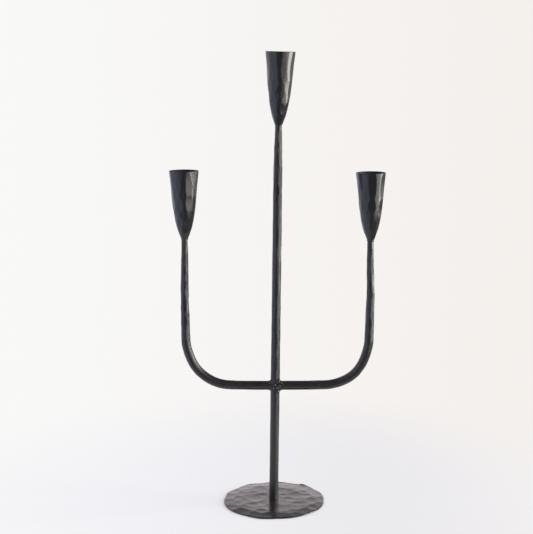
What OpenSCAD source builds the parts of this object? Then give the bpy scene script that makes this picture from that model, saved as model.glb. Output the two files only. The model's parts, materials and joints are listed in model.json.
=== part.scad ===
// Three-light tabletop candelabra, forged from round iron bar and tube.
// A hammered disc carries one upright bar. Two bent bars are butt-welded to its sides,
// and each of the three bars ends in a forged tube cup that holds a taper candle.
// The origin is the centre of the disc's underside, +Z is up and the arms lie in the XZ plane.

/* [Base] */
// Mean diameter of the hammered disc
base_d = 114; // [100:1:140]
// Thickness of the disc at its middle
base_t = 3.2; // [2.8:0.1:6]
// Thickness of the disc at its peened edge
base_edge_t = 1.8; // [1.2:0.1:2.6]
// Width of the peened band round the edge
base_edge_band = 15; // [5:0.5:20]

/* [Stem] */
// Diameter of the upright bar
stem_d = 9.8; // [8.6:0.1:12]
// Lean of the upright bar towards +X, in degrees
stem_lean = 0.65; // [0:0.05:1.2]
// Height of the centre cup's neck above the table
centre_neck_h = 428.5; // [400:0.5:460]
// Length over which the top of the upright bar is drawn down to the neck
stem_drawn_l = 85; // [60:1:140]

/* [Arms] */
// Diameter of the arm bars
arm_d = 9.7; // [8.4:0.1:11.8]
// Height of the arms' level run above the table
bar_h = 137; // [110:1:170]
// Distance from the disc's centre to the left upright
left_reach = 98.7; // [85:0.1:120]
// Distance from the disc's centre to the right upright
right_reach = 106.7; // [85:0.1:120]
// Radius of the left arm's bend
left_bend_r = 53; // [35:1:60]
// Radius of the right arm's bend
right_bend_r = 53; // [35:1:60]
// Height of the left cup's neck above the table
left_neck_h = 304.2; // [280:0.1:330]
// Height of the right cup's neck above the table
right_neck_h = 302.2; // [280:0.1:330]

/* [Cups] */
// Height of the centre cup
centre_cup_h = 79.5; // [70:0.5:90]
// Height of each side cup
side_cup_h = 75; // [70:0.5:90]
// Outer diameter of a cup at its rim
rim_d = 32; // [30:0.1:36]
// Diameter of every bar and cup at the neck
neck_d = 7.4; // [6.4:0.1:8.4]
// Wall thickness of a cup
cup_wall = 1.8; // [1.4:0.1:2.2]
// Diameter of the candle seat, for a 22.2 mm taper
seat_d = 22.6; // [22:0.1:23]
// Length of the candle seat
seat_l = 12; // [8:0.5:16]
// Lean of the centre cup towards +X, in degrees
centre_cup_lean = 1.45; // [-2:0.05:2]
// Lean of the left cup towards +X, in degrees
left_cup_lean = -0.1; // [-2:0.05:2]
// Lean of the right cup towards +X, in degrees
right_cup_lean = -0.45; // [-2:0.05:2]

/* [Welds] */
// How far a junction weld climbs the stem past the arm
junction_leg = 2.6; // [1.5:0.1:4]
// Radius of the bead round each neck
neck_bead_r = 1.3; // [0.8:0.1:1.8]

/* [Hidden] */
$fn = 96;

iron = "#232427";
iron_disc = "#37332f";
weld_metal = "#1b1c1f";

// The hammered outline of the disc: angle in degrees, and reach as a share of the radius.
disc_outline = [
    [0, 0.995], [27, 1.03], [55, 1.05], [68, 1.01], [84, 1.03], [103, 0.995],
    [119, 1.04], [133, 1.01], [153, 1.005], [180, 0.985], [217, 1.015], [236, 1.00],
    [254, 1.03], [274, 0.99], [290, 1.00], [314, 0.97], [327, 0.985],
];

stem_r = stem_d / 2;
arm_r = arm_d / 2;
neck_r = neck_d / 2;
rim_r = rim_d / 2;
seat_r = seat_d / 2;

// Where the stem's leaning axis is at a given height.
function stem_x(height) = height * tan(stem_lean);

// Tenons: the stem's foot goes through the disc, and each bar's top goes into its cup.
foot_tenon_r = 3.5;
foot_tenon_root = 6;
plug_depth = 1.6;
plug_mouth_r = 5.1;
cup_tenon_r = 2.2;
cup_tenon_l = 8;
collar_l = 3.5;
// How much slimmer than its collar a bar is drawn, so that the collar shows as a small shoulder.
collar_step = 0.22;

// A cup's outline is a cubic curve: radii at its four controls, spaced evenly up its height.
cup_steps = 18;
cup_controls = [neck_r, 0.85 * rim_r, 0.775 * rim_r, rim_r];
function cup_outer(t) =
    cup_controls[0] * pow(1 - t, 3)
    + 3 * cup_controls[1] * pow(1 - t, 2) * t
    + 3 * cup_controls[2] * (1 - t) * pow(t, 2)
    + cup_controls[3] * pow(t, 3);

// The share of a cup's height at which its wall first leaves room for the seat.
seat_floor = 0.62;
function cup_inner(t) = min(seat_r, cup_outer(t) - cup_wall);

// The arms' uprights are drawn down in two heats, one below and one above this share of their height.
drawn_waist = 0.45;
waist_d = 8.8;

module at_neck(x, height, lean) {
    translate([x, 0, height]) rotate([0, lean, 0]) children();
}

module at_centre_neck() {
    at_neck(stem_x(centre_neck_h), centre_neck_h, centre_cup_lean) children();
}

module at_left_neck() {
    at_neck(-left_reach, left_neck_h, left_cup_lean) children();
}

module at_right_neck() {
    at_neck(right_reach, right_neck_h, right_cup_lean) children();
}

// The top of a bar, turned true to its cup: a short collar up to the neck and a tenon into the cup.
module bar_top() {
    translate([0, 0, -collar_l]) cylinder(h = collar_l, r = neck_r);
    translate([0, 0, -1]) cylinder(h = cup_tenon_l + 1, r = cup_tenon_r);
}

// The bare round bar of the stem, which the arms and welds are cut to.
module stem_bar(r = stem_r) {
    rotate([0, stem_lean, 0]) cylinder(h = centre_neck_h - stem_drawn_l, r = r);
}

module centre_stem() {
    top = centre_neck_h / cos(stem_lean);
    draw = top - stem_drawn_l;
    trim = 20;
    color(iron) union() {
        difference() {
            rotate([0, stem_lean, 0]) rotate_extrude() polygon([
                [0, 0], [stem_r, 0], [stem_r, draw],
                [0.96 * stem_r, draw + 0.42 * stem_drawn_l],
                [0.84 * stem_r, draw + 0.84 * stem_drawn_l],
                [neck_r - collar_step, top - collar_l / 2], [0, top - collar_l / 2],
            ]);
            translate([-trim, -trim, base_t - 2 * trim]) cube(2 * trim);
        }
        translate([0, 0, plug_depth]) cylinder(h = base_t - plug_depth + foot_tenon_root, r = foot_tenon_r);
        at_centre_neck() bar_top();
    }
}

// One arm, drawn towards +X from the stem's axis: level run, bend and drawn-down upright.
module arm_bar(start, reach, bend_r, neck_h) {
    bend_top = bar_h + bend_r;
    waist_h = bend_top + drawn_waist * (neck_h - bend_top);
    translate([reach - bend_r, 0, bar_h]) rotate([0, -90, 0]) cylinder(h = reach - bend_r - start, r = arm_r);
    translate([reach - bend_r, 0, bend_top]) rotate([90, 0, 0]) rotate([0, 0, 270])
        rotate_extrude(angle = 90) translate([bend_r, 0]) circle(r = arm_r);
    translate([reach, 0, 0]) rotate_extrude() polygon([
        [0, bend_top], [arm_r, bend_top], [waist_d / 2, waist_h],
        [neck_r - collar_step, neck_h - collar_l / 2], [0, neck_h - collar_l / 2],
    ]);
}

module left_arm() {
    color(iron) union() {
        difference() {
            mirror([1, 0, 0]) arm_bar(-stem_x(bar_h), left_reach, left_bend_r, left_neck_h);
            stem_bar();
        }
        at_left_neck() bar_top();
    }
}

module right_arm() {
    color(iron) union() {
        difference() {
            arm_bar(stem_x(bar_h), right_reach, right_bend_r, right_neck_h);
            stem_bar();
        }
        at_right_neck() bar_top();
    }
}

// A forged tube cup: a swaged neck, a tapering hollow, a round seat for the candle and a flared mouth.
module cup(h) {
    floor_t = cup_tenon_l / h;
    color(iron) rotate_extrude() polygon(concat(
        [for (i = [0 : cup_steps]) [cup_outer(i / cup_steps), h * i / cup_steps]],
        [
            [rim_r - cup_wall, h],
            [seat_r, seat_floor * h + seat_l],
        ],
        [for (i = [cup_steps : -1 : 0])
            let (t = floor_t + (seat_floor - floor_t) * i / cup_steps)
            [cup_inner(t), h * t]],
        [[cup_tenon_r, cup_tenon_l], [cup_tenon_r, 0]]
    ));
}

// The bead round a neck, lying against the bar's collar below and the cup's foot above.
module neck_bead(h) {
    color(weld_metal) rotate_extrude() difference() {
        translate([neck_r + 0.1, -0.2]) circle(r = neck_bead_r);
        polygon([
            [0, -2 * neck_bead_r], [neck_r, -2 * neck_bead_r], [neck_r, 0],
            [cup_outer(1 / cup_steps), h / cup_steps], [0, h / cup_steps],
        ]);
    }
}

// A fillet weld that fills the corner between the stem and one arm; side is -1 or +1.
module junction_weld(side) {
    inner_gap = 1.2;
    outer_leg = 3.6;
    length = stem_r + outer_leg;
    color(weld_metal) difference() {
        translate([stem_x(bar_h) + side * inner_gap, 0, bar_h]) rotate([0, side * 90, 0])
            cylinder(h = length - inner_gap, r1 = arm_r + junction_leg, r2 = arm_r + 0.3);
        stem_bar();
        translate([stem_x(bar_h), 0, bar_h]) rotate([0, side * 90, 0])
            cylinder(h = 2 * length, r = arm_r);
    }
}

module left_junction_weld() {
    junction_weld(-1);
}

module right_junction_weld() {
    junction_weld(1);
}

module base_plate() {
    edge_slope = base_edge_band / (base_t - base_edge_t);
    color(iron_disc) difference() {
        intersection() {
            linear_extrude(base_t)
                polygon([for (c = disc_outline) base_d / 2 * c[1] * [cos(c[0]), sin(c[0])]]);
            cylinder(h = base_t, r1 = base_d / 2 + base_edge_t * edge_slope, r2 = base_d / 2 - base_edge_band);
        }
        translate([0, 0, -1]) cylinder(h = base_t + 2, r = foot_tenon_r);
        cylinder(h = plug_depth, r1 = plug_mouth_r, r2 = foot_tenon_r);
    }
}

// Weld metal that fills the disc's countersink under the foot tenon, ground flush.
module base_plug_weld() {
    color(weld_metal) cylinder(h = plug_depth, r1 = plug_mouth_r, r2 = foot_tenon_r);
}

base_plate();
centre_stem();
left_arm();
right_arm();
at_centre_neck() cup(centre_cup_h);  // centre_cup
at_left_neck() cup(side_cup_h);  // left_cup
at_right_neck() cup(side_cup_h);  // right_cup
left_junction_weld();
right_junction_weld();
at_centre_neck() neck_bead(centre_cup_h);  // centre_neck_weld
at_left_neck() neck_bead(side_cup_h);  // left_neck_weld
at_right_neck() neck_bead(side_cup_h);  // right_neck_weld
base_plug_weld();
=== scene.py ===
"""A hand-forged three-light candelabra: hammered disc foot, stem, two bent arms and three tube cups."""
import json
import math
import random

import bmesh
import bpy
import numpy as np
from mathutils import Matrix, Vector


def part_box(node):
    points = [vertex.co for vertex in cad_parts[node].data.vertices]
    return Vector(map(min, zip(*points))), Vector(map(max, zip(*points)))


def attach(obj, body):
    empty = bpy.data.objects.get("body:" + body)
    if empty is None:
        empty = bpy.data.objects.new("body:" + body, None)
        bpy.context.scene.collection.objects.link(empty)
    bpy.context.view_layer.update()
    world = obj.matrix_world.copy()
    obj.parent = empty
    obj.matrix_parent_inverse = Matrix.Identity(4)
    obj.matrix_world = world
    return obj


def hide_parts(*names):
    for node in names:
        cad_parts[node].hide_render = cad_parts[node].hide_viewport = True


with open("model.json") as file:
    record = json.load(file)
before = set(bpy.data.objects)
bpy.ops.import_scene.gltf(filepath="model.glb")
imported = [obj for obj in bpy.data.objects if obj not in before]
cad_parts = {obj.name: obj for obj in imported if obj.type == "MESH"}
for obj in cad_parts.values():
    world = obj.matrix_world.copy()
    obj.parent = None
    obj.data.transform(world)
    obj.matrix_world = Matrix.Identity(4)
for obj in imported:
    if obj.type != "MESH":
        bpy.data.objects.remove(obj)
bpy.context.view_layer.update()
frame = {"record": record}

# ---------------------------------------------------------------- driving sizes, in metres

MM = 0.001
BACK = Vector((0, 1, 0))
UP = Vector((0, 0, 1))

STEM_R = (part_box("centre_stem")[1].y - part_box("centre_stem")[0].y) / 2
ARM_R = (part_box("left_arm")[1].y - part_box("left_arm")[0].y) / 2
RIM_R = (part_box("left_cup")[1].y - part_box("left_cup")[0].y) / 2
# The bars and the cups are drawn down to this radius where they meet.
NECK_R = 3.7 * MM
# The wall of a cup, and the middle line of an arm's bend.
WALL = 1.8 * MM
BEND_R = 53 * MM
# Metal that a blank has to spare for the hammer to take down.
BAR_ALLOWANCE = 0.3 * MM
CUP_ALLOWANCE = 0.6 * MM
ARM_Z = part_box("left_junction_weld")[0].z / 2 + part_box("left_junction_weld")[1].z / 2
DISC_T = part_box("base_plate")[1].z
DISC_R = 57 * MM

SIDES_OF_BAR = 56
SIDES_OF_CUP = 168
SIDES_OF_DISC = 240
# The longest mesh edge that a bar or a cup keeps, so that a hammer mark's ridge is sharp.
FINE = 0.8 * MM


def candle_seat(side):
    """The middle of a cup's candle seat, and the way that the cup points."""
    for mount in frame["record"]["mounts"]:
        if mount["name"] == side + "_candle_socket":
            return Vector(mount["pos_m"]), Vector(mount["axis"]).normalized()
    raise ValueError(side)


def stem_x(height):
    """Where the middle of the leaning stem is at a height."""
    seat, _ = candle_seat("centre")
    return height * seat.x / seat.z


def neck_of(side):
    """The middle of the neck under a cup, the way that the cup points, and the cup's height."""
    seat, axis = candle_seat(side)
    low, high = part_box(side + "_cup")
    neck_z = low.z + NECK_R * abs(axis.x)
    rim_z = high.z - RIM_R * abs(axis.x)
    return seat - axis * ((seat.z - neck_z) / axis.z), axis, (rim_z - neck_z) / axis.z


# ---------------------------------------------------------------- bench tools


def pick(piece):
    """Selects one piece and nothing else."""
    bpy.ops.object.select_all(action="DESELECT")
    bpy.context.view_layer.objects.active = piece
    piece.select_set(True)


def start_piece(name, sides, radius, at):
    """Lays a round blank on the bench, level, and opens it for shaping."""
    bpy.ops.object.select_all(action="DESELECT")
    bpy.ops.mesh.primitive_circle_add(vertices=sides, radius=radius, fill_type="NGON", location=at)
    bpy.ops.object.transform_apply(location=True, rotation=True, scale=True)
    piece = bpy.context.object
    piece.name = piece.data.name = name
    bpy.ops.object.mode_set(mode="EDIT")
    return piece


def push_on(step, centre=None, scale=1.0):
    """Extrudes what is selected by a step, and then swells or thins it about a centre."""
    bpy.ops.mesh.extrude_region_move(TRANSFORM_OT_translate={"value": step})
    if scale != 1.0:
        bpy.ops.transform.resize(value=(scale, scale, scale), center_override=centre)


def refine(piece, longest):
    """Halves every edge that is longer than this, until none is."""
    while True:
        mesh = bmesh.from_edit_mesh(piece.data)
        long_edges = [edge for edge in mesh.edges if edge.calc_length() > longest]
        if not long_edges:
            return
        bpy.ops.mesh.select_all(action="DESELECT")
        for edge in long_edges:
            edge.select_set(True)
        bmesh.update_edit_mesh(piece.data)
        bpy.ops.mesh.subdivide(number_cuts=1)


def close_piece():
    """Merges doubled points, turns every face outwards and ends the shaping."""
    bpy.ops.mesh.select_all(action="SELECT")
    bpy.ops.mesh.remove_doubles(threshold=0.01 * MM)
    bpy.ops.mesh.normals_make_consistent(inside=False)
    bpy.ops.object.mode_set(mode="OBJECT")


def points_of(piece):
    """The piece's points as rows of x, y and z."""
    flat = np.empty(len(piece.data.vertices) * 3)
    piece.data.vertices.foreach_get("co", flat)
    return flat.reshape(-1, 3)


def put_points(piece, points):
    """Moves the piece's points to these rows of x, y and z."""
    piece.data.vertices.foreach_set("co", points.ravel())
    piece.data.update()


# How far from its middle a blow still moves metal, in half lengths: along the work, and in all.
REACH_ALONG = 1.15
REACH_ROUND = 2.5


def strike(points, centre, facing, along, radius, half_width, half_length):
    """One blow on a round surface. Metal that stands above the crowned hammer face is pressed to it."""
    facing, along, centre = (np.array(vector, float) for vector in (facing, along, centre))
    sink = radius - math.sqrt(radius**2 - half_width**2)
    crown = 2 * sink / half_length**2
    offset = points - (centre + facing * (radius - sink))
    lengthways = offset @ along
    proud = offset @ facing - lengthways**2 * crown / 2
    beside = abs(lengthways) < REACH_ALONG * half_length
    near = beside & (np.linalg.norm(offset, axis=1) < REACH_ROUND * half_length)
    points -= np.where(near & (proud > 0), proud, 0)[:, None] * facing


def relax(piece, rounds):
    """Softens the ridges between hammer blows."""
    smooth = piece.modifiers.new("soft ridges", "SMOOTH")
    smooth.factor = 0.5
    smooth.iterations = rounds
    apply_all(piece)


def lump(piece, size, depth):
    """Makes the surface gently uneven, by humps of this size and depth."""
    grain = bpy.data.textures.new(piece.name + " lumps", "CLOUDS")
    grain.noise_scale = size
    displace = piece.modifiers.new("uneven", "DISPLACE")
    displace.texture = grain
    displace.texture_coords = "LOCAL"
    displace.strength = depth
    displace.mid_level = 0.5
    apply_all(piece)
    bpy.data.textures.remove(grain)


def apply_all(piece):
    """Applies every modifier of a piece."""
    pick(piece)
    for modifier in list(piece.modifiers):
        bpy.ops.object.modifier_apply(modifier=modifier.name)


def keep_values(piece, name, values):
    """Keeps a value for each point of a piece, for its finish to read."""
    layer = piece.data.attributes.new(name, "FLOAT", "POINT")
    layer.data.foreach_set("value", values.astype(np.float32))


def mark_wear(piece, before):
    """Keeps how far each point was moved, from 0 on a ridge to 1 in the deepest dents."""
    moved = np.linalg.norm(points_of(piece) - before, axis=1)
    keep_values(piece, "pressed", np.clip(moved / np.quantile(moved, 0.95), 0, 1))


def mark_unstruck(piece):
    """Gives a piece that no hammer touched one even wear, so that it takes no burnish."""
    keep_values(piece, "pressed", np.ones(len(piece.data.vertices)))


def finish_piece(piece, node, material):
    """Gives a piece its finish, and lets it stand for its CAD node."""
    pick(piece)
    bpy.ops.object.shade_smooth()
    piece.data.materials.append(material)
    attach(piece, "root")
    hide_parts(node)


# ---------------------------------------------------------------- bars


def bar_radius(share, full, knots):
    """A bar's radius at a share of its length. Each knot is a share, and the radius there in full radii."""
    shares, radii = zip(*knots)
    return full * float(np.interp(share, shares, radii)) + BAR_ALLOWANCE * (1 - share)


def inside_bend(bend, middle, facing, here, reach):
    """Whether a blow at this distance along a bar would land on the side of its bend that faces the hub."""
    hub, bend_start, bend_end = bend
    faces_hub = facing.dot((hub - middle).normalized()) > 0.15
    return faces_hub and bend_start - reach < here < bend_end + reach


def hammer_bar(piece, spine, length, radius_at, rows, chance, bend=None):
    """Blows all round a bar. spine gives the bar's middle and direction at a distance along it.

    rows gives, at a distance along the bar, the number of blows round it and their half length.
    bend is the hub of the bar's bend, and the distances where it starts and ends. Its inside isn't struck.
    """
    before = points_of(piece)
    points = before.copy()
    distance = 0.0
    while distance < length:
        count, half_length = rows(distance)
        turn = chance.uniform(0, 2 * math.pi)
        for blow in range(count):
            angle = turn + (blow + chance.uniform(-0.25, 0.25)) * 2 * math.pi / count
            here = min(max(distance + chance.uniform(-0.4, 0.4) * half_length, 0), length)
            middle, along = spine(here)
            out = along.cross(BACK).normalized()
            facing = (out * math.cos(angle) + BACK * math.sin(angle)).normalized()
            radius = radius_at(here)
            half_width = radius * math.sin(math.pi / count) * chance.uniform(0.8, 1.12)
            reach = half_length * chance.uniform(0.7, 1.2)
            if not bend or not inside_bend(bend, middle, facing, here, reach):
                strike(points, middle, facing, along, radius, half_width, reach)
        distance += half_length * chance.uniform(0.8, 1.1)
    put_points(piece, points)
    mark_wear(piece, before)


# A bar's radius along the stem, or up the upright of an arm: share of the length, and radius in full radii.
STEM_KNOTS = [(0, 1.03), (0.1, 1.0), (0.35, 1.03), (0.8, 1.03), (0.9, 1.01), (0.945, 0.93), (1, 0.76)]


def make_stem(material):
    """The upright bar: straight, leaning a little, drawn down under the centre cup."""
    top, _, _ = neck_of("centre")
    sunk_in_disc = 0.6 * MM
    foot = Vector((0, 0, DISC_T - sunk_in_disc))
    lean = top.normalized()
    foot.x = lean.x / lean.z * foot.z
    length = (top - foot).length

    def spine(distance):
        return foot + lean * distance, lean

    def radius_at(distance):
        return bar_radius(distance / length, STEM_R, STEM_KNOTS)

    stem = start_piece("centre_stem_forged", SIDES_OF_BAR, radius_at(0), foot)
    for (share, _), (share_next, _) in zip(STEM_KNOTS, STEM_KNOTS[1:]):
        scale = radius_at(share_next * length) / radius_at(share * length)
        push_on(lean * (share_next - share) * length, foot + lean * share_next * length, scale)
    refine(stem, FINE)
    close_piece()
    past_arms = ARM_Z - foot.z + 12 * MM
    drawn_down = 0.8 * length

    def rows(distance):
        if distance < past_arms:
            return 13, 15 * MM
        if distance < drawn_down:
            return 10, 13 * MM
        return 8, 9 * MM

    hammer_bar(stem, spine, length, radius_at, rows, random.Random(4))
    relax(stem, 2)
    finish_piece(stem, "centre_stem", material)


ARM_KNOTS = [(0, 1.01), (0.15, 1.0), (0.3, 0.96), (0.5, 0.91), (0.8, 0.81), (1, 0.74)]

# Where a hand-bent arm strays from its line, in millimetres: distance past the top of the bend, how far
# outwards, and half length.
LEFT_BOWS = [(55, 0.6, 28), (-18, -0.8, 14), (-83, -0.45, 12)]
RIGHT_BOWS = [(50, 0.9, 26), (-15, -0.6, 12), (-45, 0.9, 15), (-83, -0.5, 12)]


def make_arm(side, bows, seed, material):
    """A side arm: level run, bend, and an upright drawn down under its cup."""
    sign = -1 if side == "left" else 1
    neck, _, _ = neck_of(side)
    root_x = stem_x(ARM_Z)
    reach = abs(neck.x)
    outwards = Vector((sign, 0, 0))
    start = Vector((root_x, 0, ARM_Z)) + outwards * 0.5 * STEM_R
    level = abs(sign * (reach - BEND_R) - start.x)
    curve = BEND_R * math.pi / 2
    bend_top = Vector((sign * reach, 0, ARM_Z + BEND_R))
    upright = neck.z - bend_top.z
    length = level + curve + upright
    hub = Vector((bend_top.x - sign * BEND_R, 0, bend_top.z))

    def stray(distance):
        past = (distance - level - curve) / MM
        return sum(bow * np.exp(-(((past - at) / half) ** 2)) for at, bow, half in bows) * MM

    def spine(distance):
        if distance < level:
            return start + outwards * distance - UP * stray(distance), outwards
        if distance < level + curve:
            angle = (distance - level) / BEND_R
            spoke = outwards * math.sin(angle) - UP * math.cos(angle)
            tangent = outwards * math.cos(angle) + UP * math.sin(angle)
            return hub + spoke * (BEND_R + stray(distance)), tangent
        return bend_top + UP * (distance - level - curve) + outwards * stray(distance), UP

    def radius_at(distance):
        return bar_radius(max(0, distance - level - curve) / upright, ARM_R, ARM_KNOTS)

    arm = start_piece(side + "_arm_forged", SIDES_OF_BAR, radius_at(0), start)
    bpy.ops.transform.rotate(value=math.pi / 2, orient_axis="Y", center_override=start)
    push_on(outwards * level)
    bpy.ops.mesh.spin(steps=int(curve / MM), angle=sign * math.pi / 2, center=hub, axis=BACK)
    for (share, _), (share_next, _) in zip(ARM_KNOTS, ARM_KNOTS[1:]):
        scale = radius_at(level + curve + share_next * upright) / radius_at(level + curve + share * upright)
        push_on(UP * (share_next - share) * upright, bend_top + UP * share_next * upright, scale)
    refine(arm, FINE)
    close_piece()

    points = points_of(arm)
    beyond = (points[:, 0] - hub.x) * sign
    above = points[:, 2] - hub.z
    angle = np.clip(np.arctan2(beyond, -above), 0, math.pi / 2)
    angle[beyond < 0] = 0
    angle[above > 0] = math.pi / 2
    before_bend = np.where(beyond < 0, beyond, 0)
    after_bend = np.where((beyond > 0) & (above > 0), above, 0)
    distance = level + angle * BEND_R + before_bend + after_bend
    points[:, 0] += sign * np.sin(angle) * stray(distance)
    points[:, 2] -= np.cos(angle) * stray(distance)
    put_points(arm, points)

    def rows(distance):
        if distance < level + 0.3 * curve:
            return 13, 14 * MM
        if distance < level + curve:
            return 11, 11 * MM
        return 8, 9 * MM

    hammer_bar(arm, spine, length, radius_at, rows, random.Random(seed), (hub, level, level + curve))
    relax(arm, 2)
    finish_piece(arm, side + "_arm", material)


# ---------------------------------------------------------------- cups


# The part of a cup that has chosen blows only, in degrees to the right of its front, and the share of the
# height where it starts.
FRONT_RIGHT = (2, 96)
FOOT_SHARE = 0.2

# The chosen blows: degrees to the right of the front, share of the cup's height, half width and half length
# in millimetres, and how much more the blow faces upwards than the cup there. Every cup has the low ones.
LOW_BLOWS = [(20, 0.26, 3.2, 11, -0.03), (57, 0.27, 3.8, 12, -0.08), (80, 0.28, 2.6, 11, -0.05)]
CENTRE_BLOWS = [
    (15, 0.8, 3.6, 16, 0), (42, 0.86, 3.0, 13, 0), (69, 0.8, 5.6, 16, 0),
    (14, 0.48, 3.4, 12, 0), (39, 0.5, 3.3, 9, 0.03), (67, 0.5, 4.8, 13, 0),
]
LEFT_BLOWS = [
    (26, 0.84, 4.2, 14, 0), (47, 0.86, 3.2, 10, 0.1), (74, 0.8, 4.8, 15, 0),
    (29, 0.56, 4.0, 11, 0), (60, 0.54, 3.0, 12, 0),
]
RIGHT_BLOWS = [
    (4, 0.84, 4.6, 16, 0), (34, 0.82, 1.8, 15, 0), (61, 0.82, 5.6, 16, 0),
    (4, 0.52, 4.2, 11, 0), (34, 0.52, 1.8, 10, 0), (60, 0.5, 5.0, 13, 0),
]


def cup_outline(share):
    """A cup blank's outside radius at a share of its height: a cubic curve from the neck to the rim."""
    left = 1 - share
    belly = 2.55 * left**2 * share + 2.325 * left * share**2
    curve = NECK_R * left**3 + RIM_R * (belly + share**3)
    return curve + CUP_ALLOWANCE * np.minimum(1, 0.15 + 5 * share)


def strike_cup(points, height, azimuth, share, half_width, half_length, lean=0.0):
    """One long blow on a cup that stands at the origin, at so many degrees to the right of its front."""
    angle = math.radians(azimuth - 90)
    out = Vector((math.cos(angle), math.sin(angle), 0))
    slope = (cup_outline(share + 0.01) - cup_outline(share - 0.01)) / (0.02 * height) - lean
    facing, along = (out - UP * slope).normalized(), (UP + out * slope).normalized()
    strike(points, UP * share * height, facing, along, cup_outline(share), half_width, half_length)


def make_cup(side, seed, front_blows, material):
    """A tall flared tube cup with long hammer marks, hollow down to its swaged neck.

    front_blows are its chosen blows, at the right of its front, where the light falls.
    """
    neck, axis, height = neck_of(side)
    seat_r = 11.3 * MM
    seat_top = 0.78
    floor_z = 8 * MM
    lip_round = 0.45 * MM
    mouth_r = RIM_R + 0.3 * MM - WALL
    steps = 26

    def bore(share):
        """The cup's inside radius: parallel round the candle's foot, and opening out above it."""
        if share < seat_top:
            return min(seat_r, cup_outline(share) - WALL - CUP_ALLOWANCE)
        return seat_r + (mouth_r - seat_r) * (share - seat_top) / (1 - seat_top)

    outside = [(cup_outline(i / steps), height * i / steps) for i in range(steps)]
    lip = [
        (cup_outline(1) - 0.15 * MM, height - lip_round),
        (cup_outline(1) - lip_round, height),
        (mouth_r + lip_round, height),
        (mouth_r, height - lip_round),
    ]
    shares = [1 - i / steps for i in range(1, steps)]
    inside = [(bore(share), height * share) for share in shares if height * share > floor_z]
    inside.append((bore(floor_z / height), floor_z))
    rings = outside + lip + inside

    cup = start_piece(side + "_cup_forged", SIDES_OF_CUP, rings[0][0], (0, 0, 0))
    for (radius, z), (radius_next, z_next) in zip(rings, rings[1:]):
        push_on(UP * (z_next - z), UP * z_next, radius_next / radius)
    refine(cup, FINE)
    close_piece()

    before = points_of(cup)
    points = before.copy()
    chance = random.Random(seed)
    lowest, highest, blow_pitch = 0.05, 0.98, 8 * MM
    share = 0.97
    while share > lowest:
        radius = cup_outline(share)
        count = max(6, round(2 * math.pi * radius / blow_pitch))
        turn = chance.uniform(0, 360)
        for blow in range(count):
            azimuth = (turn + (blow + chance.uniform(-0.25, 0.25)) * 360 / count) % 360
            here = min(highest, max(lowest, share + chance.uniform(-0.05, 0.05)))
            half_width = radius * math.sin(math.pi / count) * chance.uniform(0.75, 1.0)
            half_length = chance.uniform(8, 13) * MM
            if here < FOOT_SHARE or not FRONT_RIGHT[0] < azimuth < FRONT_RIGHT[1]:
                strike_cup(points, height, azimuth, here, half_width, half_length)
        share -= chance.uniform(0.12, 0.16)
    for azimuth, share, half_width, half_length, lean in front_blows + LOW_BLOWS:
        strike_cup(points, height, azimuth, share, half_width * MM, half_length * MM, lean)
    put_points(cup, points)
    mark_wear(cup, before)
    depth = cup_outline(before[:, 2] / height) - np.hypot(before[:, 0], before[:, 1])
    inside_or_lip = (depth > 1.2 * MM) | (before[:, 2] > height - 0.4 * MM)
    keep_values(cup, "soot", inside_or_lip)
    relax(cup, 4)
    cup.rotation_euler = (0, math.atan2(axis.x, axis.z), 0)
    cup.location = neck
    pick(cup)
    bpy.ops.object.transform_apply(location=True, rotation=True, scale=True)
    finish_piece(cup, side + "_cup", material)


# ---------------------------------------------------------------- disc foot

# The disc's hammered outline: angle in degrees, and reach as a share of the radius.
DISC_OUTLINE = [
    (0, 1.005), (27, 1.065), (36, 1.045), (55, 1.11), (68, 1.06), (84, 1.09), (103, 1.03), (119, 1.085),
    (129, 1.045), (138, 1.0), (152, 1.045), (166, 1.0), (180, 1.0), (217, 1.02), (236, 1.005), (254, 1.03),
    (274, 0.99), (290, 1.01), (314, 1.0), (327, 1.015),
]


def disc_reach(angles):
    """The disc's radius at each angle."""
    corners = [math.radians(angle) for angle, _ in DISC_OUTLINE]
    reaches = [share * DISC_R for _, share in DISC_OUTLINE]
    return np.interp(angles, corners, reaches, period=2 * math.pi)


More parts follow.
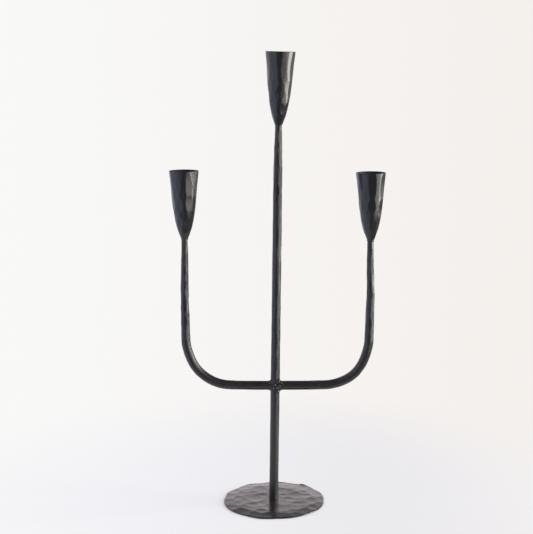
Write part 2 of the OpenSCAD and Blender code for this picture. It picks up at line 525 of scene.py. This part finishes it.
def make_disc(material):
    """The foot: a disc hammered all over its top, thinned and rounded over towards its edge."""
    edge_t = 1.8 * MM
    flat_r = 41 * MM
    hub_r = 4 * MM
    dent_pitch = 14.5 * MM
    # How far the back of the rim curls up off the table.
    rim_rise = 1.35 * MM
    # The lowest skin, which lies on the table and isn't struck.
    underside_t = 0.6 * MM

    def top_z(radius):
        past_flat = max(0, (radius - flat_r) / (DISC_R - flat_r))
        return DISC_T - (DISC_T - edge_t) * past_flat**1.4

    disc = start_piece("base_plate_forged", SIDES_OF_DISC, hub_r, (0, 0, 0))
    rings = [
        (DISC_R - 0.7 * MM, 0),
        (DISC_R - 0.1 * MM, 0.5 * MM),
        (DISC_R, 1.1 * MM),
        (DISC_R - 0.5 * MM, edge_t - 0.15 * MM),
    ]
    radius = DISC_R - 1.2 * MM
    while radius > 1.5 * MM:
        rings.append((radius, top_z(radius)))
        radius -= 0.9 * MM
    last_radius, last_z = hub_r, 0
    for radius, z in rings:
        push_on(UP * (z - last_z), UP * z, radius / last_radius)
        last_radius, last_z = radius, z
    refine(disc, 2.2 * MM)
    close_piece()

    points = points_of(disc)
    angles = np.arctan2(points[:, 1], points[:, 0]) % (2 * math.pi)
    radii = np.hypot(points[:, 0], points[:, 1])
    rimward = np.clip(radii / DISC_R, 0, 1) ** 3
    stretch = 1 + (disc_reach(angles) / DISC_R - 1) * rimward
    points[:, 0] *= stretch
    points[:, 1] *= stretch
    rise = rim_rise * np.clip(np.sin(angles), 0, 1) ** 2 * rimward
    points[:, 2] += rise
    before = points.copy()

    chance = random.Random(11)
    radius = 7 * MM
    while radius < DISC_R + 2 * MM:
        count = max(5, round(2 * math.pi * radius / dent_pitch))
        turn = chance.uniform(0, 2 * math.pi)
        for blow in range(count):
            angle = turn + (blow + chance.uniform(-0.3, 0.3)) * 2 * math.pi / count
            there = radius + chance.uniform(-2, 2) * MM
            out = Vector((math.cos(angle), math.sin(angle), 0))
            slope = (top_z(there + MM) - top_z(there - MM)) / (2 * MM)
            tilt = Vector((chance.uniform(-0.025, 0.025), chance.uniform(-0.025, 0.025), 1)) - out * slope
            half_width = chance.uniform(7, 12) * MM
            sink = chance.uniform(0.12, 0.38) * MM
            dent(points, out * there + UP * top_z(there), tilt.normalized(), half_width, sink)
        radius += chance.uniform(8, 13) * MM
    points[:, 2] = np.maximum(points[:, 2], 0)
    underside = before[:, 2] < underside_t + rise
    points[underside] = before[underside]
    put_points(disc, points)
    mark_wear(disc, before)
    relax(disc, 2)
    finish_piece(disc, "base_plate", material)


def dent(points, centre, facing, half_width, sink):
    """One blow of a round hammer face on the flat: a shallow round dish."""
    facing, centre = np.array(facing, float), np.array(centre, float)
    offset = points - centre
    height = offset @ facing
    off_axis = ((offset - height[:, None] * facing) ** 2).sum(1)
    proud = height - sink * (off_axis / half_width**2 - 1)
    near = (off_axis < (1.6 * half_width) ** 2) & (height > -1.5 * MM)
    points -= np.where(near & (proud > 0), proud, 0)[:, None] * facing


# ---------------------------------------------------------------- welds


def drip(points, spots, chance):
    """Swells the metal round each spot into a small drop."""
    for spot in spots:
        reach = chance.uniform(0.9, 1.9) * MM
        offset = points - np.array(spot)
        swell = np.exp(-(offset**2).sum(1) / reach**2) * chance.uniform(0.1, 0.55)
        points += offset * swell[:, None]


def make_neck_bead(side, seed, material):
    """A narrow uneven bead under a cup, with a few drops on it."""
    neck, axis, _ = neck_of(side)
    major = NECK_R - 0.45 * MM
    minor = 0.65 * MM
    bpy.ops.object.select_all(action="DESELECT")
    bpy.ops.mesh.primitive_torus_add(
        major_segments=72, minor_segments=32, major_radius=major, minor_radius=minor, location=neck)
    bpy.ops.object.transform_apply(location=True, rotation=True, scale=True)
    bead = bpy.context.object
    bead.name = bead.data.name = side + "_neck_bead"
    points = points_of(bead)
    points[:, 2] += (points[:, 2] - neck.z) * 0.9
    chance = random.Random(seed)
    spots = []
    for angle in [chance.uniform(0, 2 * math.pi) for _ in range(7)]:
        out = Vector((math.cos(angle), math.sin(angle), 0))
        spots.append(neck + out * major + axis * chance.uniform(-1.2, 1.4) * MM)
    drip(points, spots, chance)
    put_points(bead, points)
    lump(bead, 1.5 * MM, 0.4 * MM)
    mark_wear(bead, points)
    finish_piece(bead, side + "_neck_weld", material)


# The outline of a junction weld, in millimetres: out from the stem's skin, and over the arm's skin.
FILLET = [(-1.0, 1.9), (0.1, 2.1), (0.8, 1.4), (1.6, 0.8), (2.6, 0.4), (3.8, 0.1), (5.0, -0.5)]

# The drops that stand out on a junction's front, in millimetres: to the right of the stem's middle, above
# the arm's middle, and radius.
LEFT_DROPS = [(-2.8, -2.6, 2.3), (-4.0, 3.6, 1.6), (-0.8, 1.6, 1.9), (-5.6, -4.2, 1.4), (-7.0, 3.0, 1.1)]
RIGHT_DROPS = [
    (3.2, 5.8, 2.7), (2.3, -6.0, 2.2), (4.2, 0.6, 1.8), (6.6, 3.2, 1.4), (1.4, -1.8, 1.8), (8.4, 1.0, 1.0),
]


def bar_front(off_middle, radius):
    """The front of a bar's skin at a distance from its middle, and 0 past the bar."""
    return -math.sqrt(radius**2 - off_middle**2) if abs(off_middle) < radius else 0


def make_junction_weld(side, drops, seed, material):
    """A fillet of weld metal that wraps the stem and tapers off along the arm, with drops and ripples."""
    sign = -1 if side == "left" else 1
    root_x = stem_x(ARM_Z)
    outwards = Vector((sign, 0, 0))
    skin = Vector((root_x, 0, ARM_Z)) + outwards * STEM_R
    start = skin + outwards * FILLET[0][0] * MM
    weld = start_piece(side + "_junction_bead", 96, ARM_R + FILLET[0][1] * MM, start)
    bpy.ops.transform.rotate(value=math.pi / 2, orient_axis="Y", center_override=start)
    for (out, height), (out_next, height_next) in zip(FILLET, FILLET[1:]):
        scale = (ARM_R + height_next * MM) / (ARM_R + height * MM)
        push_on(outwards * (out_next - out) * MM, skin + outwards * out_next * MM, scale)
    refine(weld, 0.45 * MM)
    close_piece()

    points = points_of(weld)
    stemward = np.clip(1 - (points[:, 0] - skin.x) * sign / (4 * MM), 0, 1)
    points[:, 1] *= 1 - 0.2 * stemward
    stem_side = np.sqrt(np.maximum(STEM_R**2 - points[:, 1] ** 2, 0.0))
    points[:, 0] -= sign * (STEM_R - stem_side) * stemward
    chance = random.Random(seed)
    ripple_r = ARM_R + 0.4 * MM
    spots = []
    for _ in range(16):
        angle = chance.uniform(0, 2 * math.pi)
        along = skin + outwards * chance.uniform(0, 3.5) * MM
        spots.append(along + (BACK * math.cos(angle) + UP * math.sin(angle)) * ripple_r)
    drip(points, spots, chance)
    put_points(weld, points)
    bpy.ops.object.mode_set(mode="EDIT")
    for right, above, radius in drops:
        front = min(bar_front(right * MM, STEM_R), bar_front(above * MM, ARM_R))
        at = (root_x + right * MM, front, ARM_Z + above * MM)
        bpy.ops.mesh.primitive_uv_sphere_add(segments=32, ring_count=16, radius=radius * MM, location=at)
    bpy.ops.object.mode_set(mode="OBJECT")
    lump(weld, 1.7 * MM, 0.5 * MM)
    mark_unstruck(weld)
    relax(weld, 1)
    finish_piece(weld, side + "_junction_weld", material)


def make_plug(material):
    """The plug of weld metal under the stem's foot, ground flush with the disc."""
    plug_h = 1.6 * MM
    plug = start_piece("base_plug_forged", 64, 5.1 * MM, (0, 0, 0))
    push_on(UP * plug_h, UP * plug_h, 0.7)
    refine(plug, 1 * MM)
    close_piece()
    mark_unstruck(plug)
    finish_piece(plug, "base_plug_weld", material)


# ---------------------------------------------------------------- materials


class Wire:
    """An output of a shader node. Arithmetic on wires adds Math nodes."""

    def __init__(self, tree, socket):
        self.tree, self.socket = tree, socket

    def _math(self, operation, first, second):
        return add_node(self.tree, "ShaderNodeMath", {"operation": operation}, {0: first, 1: second})

    def __add__(self, other):
        return self._math("ADD", self, other)

    def __radd__(self, other):
        return self._math("ADD", other, self)

    def __sub__(self, other):
        return self._math("SUBTRACT", self, other)

    def __rsub__(self, other):
        return self._math("SUBTRACT", other, self)

    def __mul__(self, other):
        return self._math("MULTIPLY", self, other)

    def __rmul__(self, other):
        return self._math("MULTIPLY", other, self)


def add_node(tree, kind, settings=None, sockets=None, output=0):
    """Adds a node. Its settings are set first, then the values or wires of its sockets."""
    node = tree.nodes.new(kind)
    for name, value in (settings or {}).items():
        setattr(node, name, value)
    for name, value in (sockets or {}).items():
        if isinstance(value, Wire):
            tree.links.new(value.socket, node.inputs[name])
        else:
            node.inputs[name].default_value = value
    return Wire(tree, node.outputs[output])


def smooth_step(value, low, high):
    """0 below low, 1 above high, and a soft rise between."""
    return add_node(value.tree, "ShaderNodeMapRange", {"interpolation_type": "SMOOTHSTEP"},
                    {"Value": value, "From Min": low, "From Max": high})


def mix_colour(tree, factor, first, second):
    """A mix of two colours: factor 0 is the first."""
    return add_node(tree, "ShaderNodeMix", {"data_type": "RGBA"}, {0: factor, 6: first, 7: second}, 2)


def noise(tree, where, scale, detail=3.0, rough=0.5):
    """Fractal noise, where scale is in humps per metre."""
    return add_node(tree, "ShaderNodeTexNoise", None,
                    {"Vector": where, "Scale": scale, "Detail": detail, "Roughness": rough})


def forged_black(name, dark, light, rough_low, rough_high, coat, grain):
    """Blackened, oiled iron: satin black, a little lighter on the ridges, with a fine scale.

    dark and light are its two blacks, rough_low and rough_high its range of roughness, coat how much oil it
    has and grain how strong the scale is. Where there is soot, it is rougher and has no oil.
    """
    material = bpy.data.materials.new(name)
    material.use_nodes = True
    tree = material.node_tree
    shader = tree.nodes["Principled BSDF"]
    where = add_node(tree, "ShaderNodeTexCoord", output=3)
    pressed = add_node(tree, "ShaderNodeAttribute", {"attribute_name": "pressed"}, output=2)
    soot = add_node(tree, "ShaderNodeAttribute", {"attribute_name": "soot"}, output=2)
    broad = noise(tree, where, 60)
    cloudy = noise(tree, where, 240, 4.0, 0.6)
    fine = noise(tree, where, 1500, 3.0, 0.6)
    patches = smooth_step(broad * 0.6 + cloudy * 0.4, 0.35, 0.65)
    ridge = 1 - pressed
    black = mix_colour(tree, patches * 0.7 + ridge * 0.3, dark, light)
    tree.links.new(black.socket, shader.inputs["Base Color"])
    uneven = patches * 0.5 + fine * 0.3 + pressed * 0.2
    rough = rough_low + (rough_high - rough_low) * uneven + soot * 0.5
    tree.links.new(rough.socket, shader.inputs["Roughness"])
    tree.links.new((coat * (1 - soot)).socket, shader.inputs["Coat Weight"])
    scale = {"Strength": grain, "Distance": 0.25 * MM, "Height": cloudy * 0.7 + fine * 0.3}
    bump = add_node(tree, "ShaderNodeBump", None, scale)
    tree.links.new(bump.socket, shader.inputs["Normal"])
    shader.inputs["Coat Roughness"].default_value = 0.22
    return material


# ---------------------------------------------------------------- studio


def make_camera():
    """A long lens level with the centre cup's rim, tipped down a little."""
    camera = bpy.data.cameras.new("camera")
    camera.lens = 85.15
    camera.sensor_width = 36
    camera.clip_end = 50
    holder = bpy.data.objects.new("camera", camera)
    holder.location = (-0.0082, -1.3807, 0.508)
    holder.rotation_euler = (math.radians(90 - 9.69), 0, 0)
    bpy.context.scene.collection.objects.link(holder)
    bpy.context.scene.camera = holder


# What the lamps are aimed at.
MIDDLE = Vector((0, 0, 0.25))


def area_light(name, azimuth, elevation, distance, width, height, radiance, colour):
    """A soft box that faces the object. Azimuth 0 is in front, and positive to the right."""
    lamp = bpy.data.lights.new(name, "AREA")
    lamp.shape = "RECTANGLE"
    lamp.size, lamp.size_y = width, height
    lamp.energy = radiance * math.pi * width * height
    lamp.color = colour
    holder = bpy.data.objects.new(name, lamp)
    turn, lift = math.radians(azimuth), math.radians(elevation)
    out = Vector((math.sin(turn) * math.cos(lift), -math.cos(turn) * math.cos(lift), math.sin(lift)))
    holder.location = MIDDLE + out * distance
    holder.rotation_euler = out.to_track_quat("Z", "Y").to_euler()
    bpy.context.scene.collection.objects.link(holder)


def make_lights():
    """A narrow window at the right, with its curtain towards the front and a pale wall towards the back."""
    area_light("window", 90, 10, 2.4, 1.2, 2.04, 9.8, (1.0, 0.98, 0.87))
    area_light("curtain", 53, 5, 2.6, 2.1, 2.4, 2.7, (1.0, 0.97, 0.86))
    area_light("wall", 119, 14, 2.5, 1.3, 2.0, 0.8, (1.0, 0.97, 0.93))


def make_world():
    """The camera sees a pale backdrop. The iron reflects a room that is lit from behind and the left."""
    world = bpy.data.worlds.new("studio")
    bpy.context.scene.world = world
    world.use_nodes = True
    tree = world.node_tree
    background = tree.nodes["Background"]
    direction = add_node(tree, "ShaderNodeTexCoord", output=0)
    split = tree.nodes.new("ShaderNodeSeparateXYZ")
    tree.links.new(direction.socket, split.inputs[0])
    x, y, z = (Wire(tree, split.outputs[i]) for i in range(3))
    pale = mix_colour(tree, smooth_step(x, -0.25, 0.25), (0.945, 0.945, 0.94, 1), (0.905, 0.868, 0.84, 1))
    behind = smooth_step(y * 0.83 - x * 0.55, 0.1, 0.6)
    low = 1 - smooth_step(z, 0.3, 0.5)
    above_floor = smooth_step(z, -0.3, 0.0)
    lit = behind * low * above_floor
    room = mix_colour(tree, smooth_step(x, -0.75, -0.1), (0.88, 0.95, 1.17, 1), (0.24, 0.24, 0.26, 1))
    studio = mix_colour(tree, lit, room, (1.12, 1.02, 1.07, 1))
    seen = add_node(tree, "ShaderNodeLightPath", output=0)
    tree.links.new(mix_colour(tree, seen, studio, pale).socket, background.inputs["Color"])


def make_floor():
    """A pale round tabletop that fades into the backdrop. Its glow is painted light, painted a little darker
    at the right as shade.
    """
    right = (1, 0, 0)
    bpy.ops.object.select_all(action="DESELECT")
    under_disc = (0, 0, -0.05 * MM)
    bpy.ops.mesh.primitive_circle_add(vertices=96, radius=0.6, fill_type="NGON", location=under_disc)
    floor = bpy.context.object
    floor.name = "tabletop"
    material = bpy.data.materials.new("pale tabletop")
    material.use_nodes = True
    tree = material.node_tree
    tree.nodes.remove(tree.nodes["Principled BSDF"])
    where = add_node(tree, "ShaderNodeTexCoord", output=3)
    distance = add_node(tree, "ShaderNodeVectorMath", {"operation": "LENGTH"}, {0: where}, 1)
    diffuse = add_node(tree, "ShaderNodeBsdfDiffuse", None, {"Color": (0.5, 0.5, 0.5, 1)})
    across = add_node(tree, "ShaderNodeVectorMath", {"operation": "DOT_PRODUCT"}, {0: where, 1: right}, 1)
    # Painted light: the tabletop glows, brighter at the left, with painted shade towards the right.
    painted_light_colour = mix_colour(tree, smooth_step(across, -0.3, 0.2), (0.525, 0.52, 0.54, 1), (0.385, 0.375, 0.395, 1))
    glow = add_node(tree, "ShaderNodeEmission", None, {"Color": painted_light_colour, "Strength": 1.0})
    top = add_node(tree, "ShaderNodeAddShader", None, {0: diffuse, 1: glow})
    clear = add_node(tree, "ShaderNodeBsdfTransparent")
    fade = smooth_step(distance, 0.16, 0.5)
    surface = add_node(tree, "ShaderNodeMixShader", None, {0: fade, 1: top, 2: clear})
    tree.links.new(surface.socket, tree.nodes["Material Output"].inputs["Surface"])
    floor.data.materials.append(material)


# ---------------------------------------------------------------- the candelabra

make_camera()
make_lights()
make_world()
make_floor()

bar_iron = forged_black("forged bar iron", (0.005, 0.005, 0.006, 1), (0.013, 0.012, 0.013, 1),
                        rough_low=0.26, rough_high=0.42, coat=0.15, grain=0.25)
cup_iron = forged_black("forged cup iron", (0.005, 0.005, 0.006, 1), (0.011, 0.011, 0.012, 1),
                        rough_low=0.15, rough_high=0.25, coat=0.2, grain=0.1)
disc_iron = forged_black("hammered disc iron", (0.012, 0.010, 0.009, 1), (0.026, 0.021, 0.021, 1),
                         rough_low=0.18, rough_high=0.3, coat=0.5, grain=0.2)
bead_iron = forged_black("weld bead iron", (0.005, 0.005, 0.006, 1), (0.012, 0.012, 0.012, 1),
                         rough_low=0.12, rough_high=0.22, coat=0.3, grain=0.15)

make_disc(disc_iron)
make_stem(bar_iron)
make_arm("left", LEFT_BOWS, 6, bar_iron)
make_arm("right", RIGHT_BOWS, 7, bar_iron)
make_cup("centre", 1, CENTRE_BLOWS, cup_iron)
make_cup("left", 2, LEFT_BLOWS, cup_iron)
make_cup("right", 3, RIGHT_BLOWS, cup_iron)
make_junction_weld("left", LEFT_DROPS, 21, bead_iron)
make_junction_weld("right", RIGHT_DROPS, 22, bead_iron)
for bead_seed, cup_side in enumerate(("left", "centre", "right"), 31):
    make_neck_bead(cup_side, bead_seed, bead_iron)
make_plug(bead_iron)

bpy.context.scene.view_settings.view_transform = "Standard"
